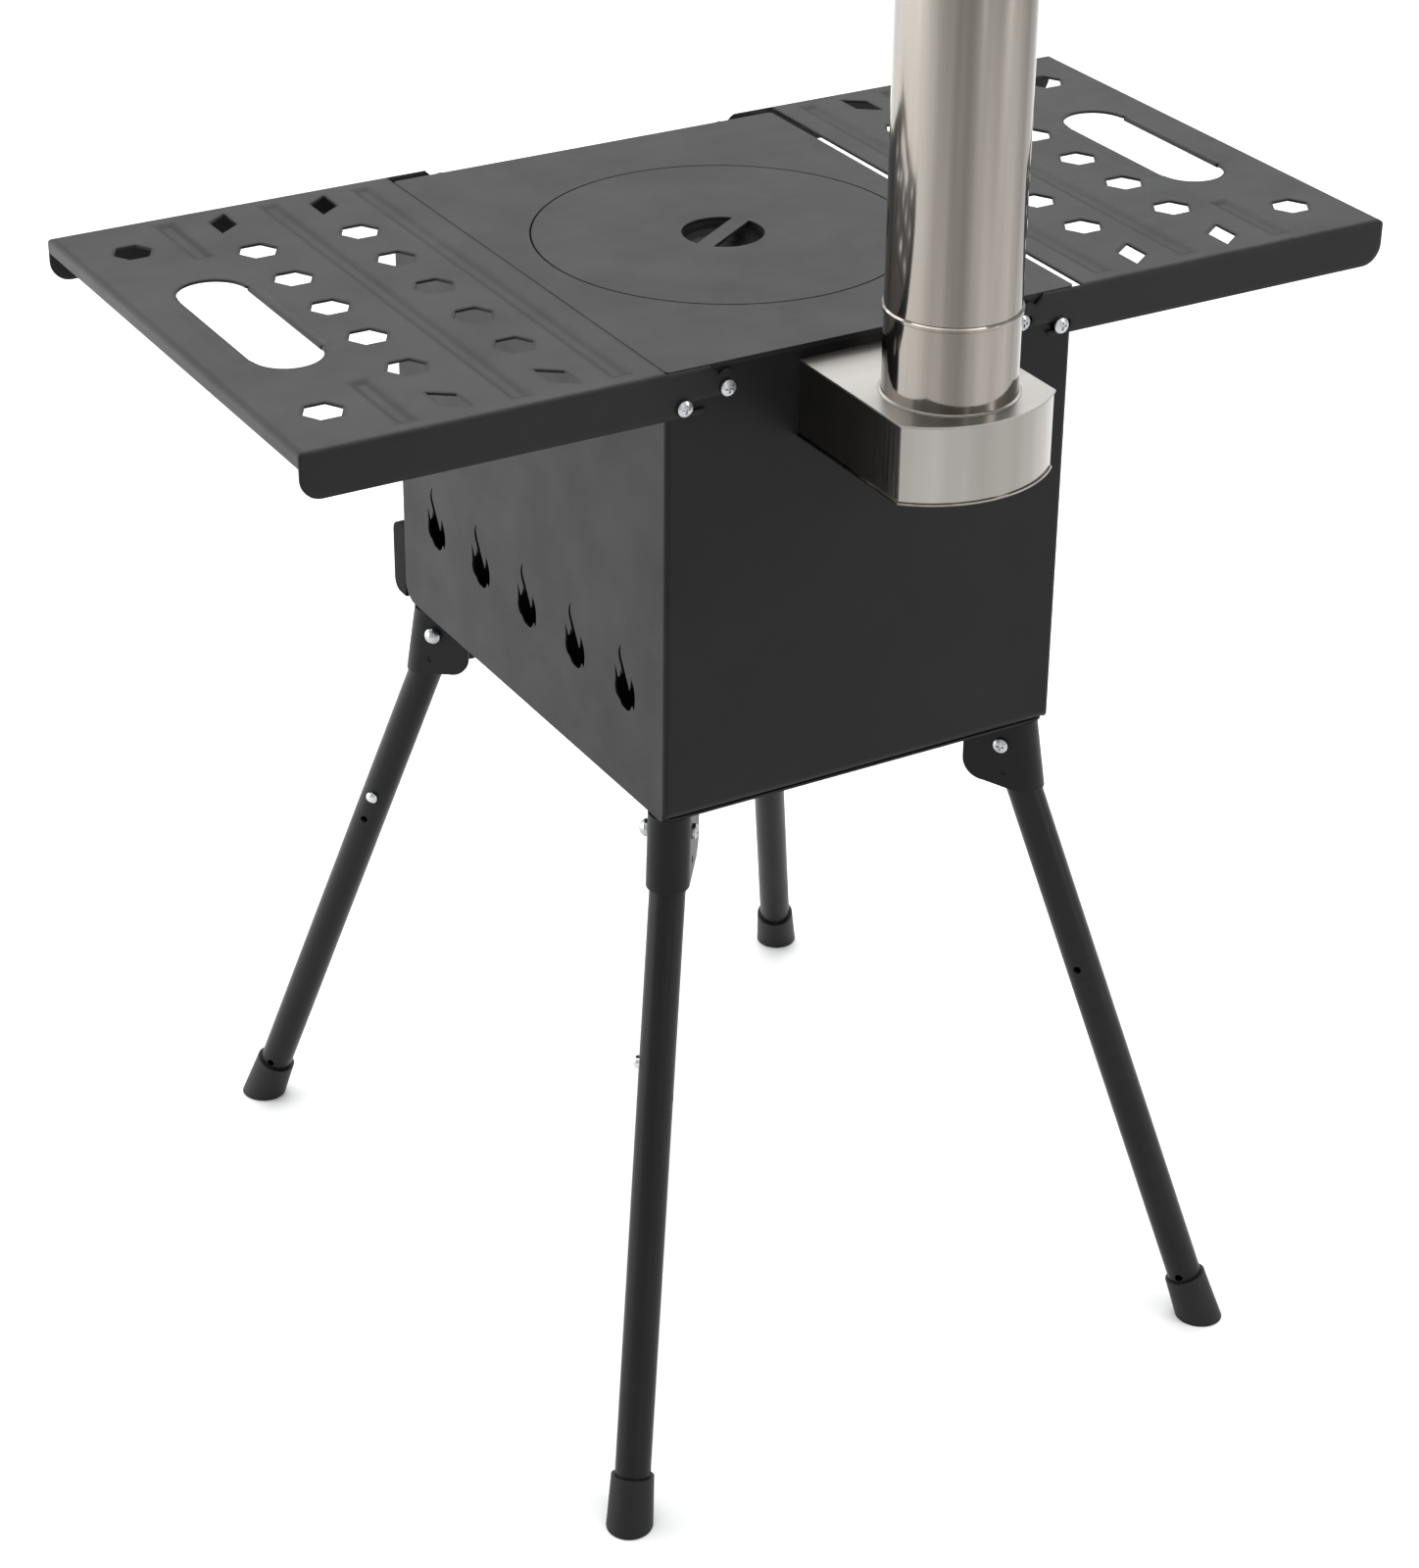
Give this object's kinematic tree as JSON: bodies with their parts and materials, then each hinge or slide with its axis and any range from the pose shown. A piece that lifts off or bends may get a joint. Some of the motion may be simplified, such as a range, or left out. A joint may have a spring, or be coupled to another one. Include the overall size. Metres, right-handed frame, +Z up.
{
  "type": "tent wood stove",
  "caption": "Folding wood stove for tents: box with flame-shaped vents, lidded cook hole, hooked side shelves, rear flue box with pipe, ash drawer, door and splayed fold-in legs.",
  "frame": {"origin": "on the floor under the middle of the firebox", "axes": "+X to the right as seen by someone who faces the door, +Y to the back where the flue is, +Z up"},
  "size_m": [0.7207, 0.5849, 1.1138],
  "materials": {
    "black_coat": "satin black powder coat",
    "deck_coat": "satin black powder coat",
    "leg_coat": "satin black powder coat",
    "raw_steel": "matt heat-proof black",
    "zinc": "bright zinc",
    "stainless": "polished stainless steel",
    "foot_plastic": "moulded, fine grain",
    "bright_chrome": "polished",
    "spring_steel": "bare spring steel"
  },
  "bodies": {
    "firebox": {"firebox_shell": "black_coat", "front_panel": "black_coat", "floor_pan": "black_coat", "top_plate": "deck_coat", "lid_ledge": "black_coat", "grate_rails": "raw_steel", "fire_grate": "raw_steel", "shelf_screws": "zinc", "shelf_nuts": "zinc", "flue_box_shell": "stainless", "flue_box_top": "stainless", "flue_box_bottom": "stainless", "flue_collar": "stainless", "bracket_back_right": "black_coat", "bracket_front_right": "black_coat", "bracket_back_left": "black_coat", "bracket_front_left": "black_coat", "bracket_rivets": "raw_steel", "pivot_screws": "zinc", "pivot_nuts": "black_coat", "door_hinge_fixed": "raw_steel", "door_hinge_pins": "zinc", "hinge_rivets_fixed": "raw_steel"},
    "door": {"door_panel": "black_coat", "door_hinge_moving": "raw_steel", "hinge_rivets_moving": "raw_steel", "air_rivet": "zinc"},
    "latch": {"latch_handle": "raw_steel", "latch_tongue": "raw_steel"},
    "air_control": {"air_disc": "raw_steel"},
    "drawer": {"ash_tray": "raw_steel", "ash_drawer_front": "black_coat"},
    "lid": {"lid_plate": "deck_coat", "lid_cup": "deck_coat"},
    "pipe": {"pipe_section": "stainless"},
    "right_shelf": {"shelf_right": "deck_coat"},
    "left_shelf": {"shelf_left": "deck_coat"},
    "leg_back_right": {"upper_tube_back_right": "leg_coat", "lower_tube_back_right": "leg_coat", "foot_back_right": "foot_plastic", "button_spring_back_right": "spring_steel"},
    "button_back_right": {"snap_button_back_right": "bright_chrome"},
    "leg_front_right": {"upper_tube_front_right": "leg_coat", "lower_tube_front_right": "leg_coat", "foot_front_right": "foot_plastic", "button_spring_front_right": "spring_steel"},
    "button_front_right": {"snap_button_front_right": "bright_chrome"},
    "leg_back_left": {"upper_tube_back_left": "leg_coat", "lower_tube_back_left": "leg_coat", "foot_back_left": "foot_plastic", "button_spring_back_left": "spring_steel"},
    "button_back_left": {"snap_button_back_left": "bright_chrome"},
    "leg_front_left": {"upper_tube_front_left": "leg_coat", "lower_tube_front_left": "leg_coat", "foot_front_left": "foot_plastic", "button_spring_front_left": "spring_steel"},
    "button_front_left": {"snap_button_front_left": "bright_chrome"}
  },
  "joints": [
    {"name": "door_hinge", "type": "hinge", "parent": "firebox", "child": "door", "pos_m": [0.1084, -0.1769, 0.57], "axis": [0, 0, 1], "range_deg": [0, 110]},
    {"name": "latch_turn", "type": "hinge", "parent": "door", "child": "latch", "pos_m": [-0.081, -0.18, 0.57], "axis": [0, -1, 0], "range_deg": [0, 90]},
    {"name": "air_disc_turn", "type": "hinge", "parent": "door", "child": "air_control", "pos_m": [0, -0.175, 0.527], "axis": [0, -1, 0], "range_deg": [0, 45]},
    {"name": "ash_drawer_slide", "type": "slide", "parent": "firebox", "child": "drawer", "axis": [0, -1, 0], "range_m": [0, 0.25]},
    {"name": "lid_lift", "type": "slide", "parent": "firebox", "child": "lid", "axis": [0, 0, 1], "range_m": [0, 0.12]},
    {"name": "pipe_lift", "type": "slide", "parent": "firebox", "child": "pipe", "axis": [0, 0, 1], "range_m": [0, 0.045]},
    {"name": "right_shelf_pull", "type": "slide", "parent": "firebox", "child": "right_shelf", "axis": [1, 0, 0], "range_m": [0, 0.036]},
    {"name": "left_shelf_pull", "type": "slide", "parent": "firebox", "child": "left_shelf", "axis": [-1, 0, 0], "range_m": [-0.0047, 0.0313]},
    {"name": "leg_fold_back_right", "type": "hinge", "parent": "firebox", "child": "leg_back_right", "pos_m": [0.12031, 0.15215, 0.403], "axis": [-0.7844, 0.6202, 0], "range_deg": [0, 86]},
    {"name": "leg_fold_front_right", "type": "hinge", "parent": "firebox", "child": "leg_front_right", "pos_m": [0.12031, -0.15215, 0.403], "axis": [0.7844, 0.6202, 0], "range_deg": [0, 77]},
    {"name": "leg_fold_back_left", "type": "hinge", "parent": "firebox", "child": "leg_back_left", "pos_m": [-0.12031, 0.15215, 0.403], "axis": [0.7844, 0.6202, 0], "range_deg": [-77, 0]},
    {"name": "leg_fold_front_left", "type": "hinge", "parent": "firebox", "child": "leg_front_left", "pos_m": [-0.12031, -0.15215, 0.403], "axis": [-0.7844, 0.6202, 0], "range_deg": [-86, 0]},
    {"name": "snap_button_back_right", "type": "slide", "parent": "leg_back_right", "child": "button_back_right", "axis": [-0.7844, 0.6202, 0], "range_m": [0, 0.0032], "stiffness_N_per_m": 400, "deforming": ["button_spring_back_right"]},
    {"name": "snap_button_front_right", "type": "slide", "parent": "leg_front_right", "child": "button_front_right", "axis": [-0.7844, -0.6202, 0], "range_m": [0, 0.0032], "stiffness_N_per_m": 400, "deforming": ["button_spring_front_right"]},
    {"name": "snap_button_back_left", "type": "slide", "parent": "leg_back_left", "child": "button_back_left", "axis": [0.7844, 0.6202, 0], "range_m": [0, 0.0032], "stiffness_N_per_m": 400, "deforming": ["button_spring_back_left"]},
    {"name": "snap_button_front_left", "type": "slide", "parent": "leg_front_left", "child": "button_front_left", "axis": [0.7844, -0.6202, 0], "range_m": [0, 0.0032], "stiffness_N_per_m": 400, "deforming": ["button_spring_front_left"]}
  ]
}
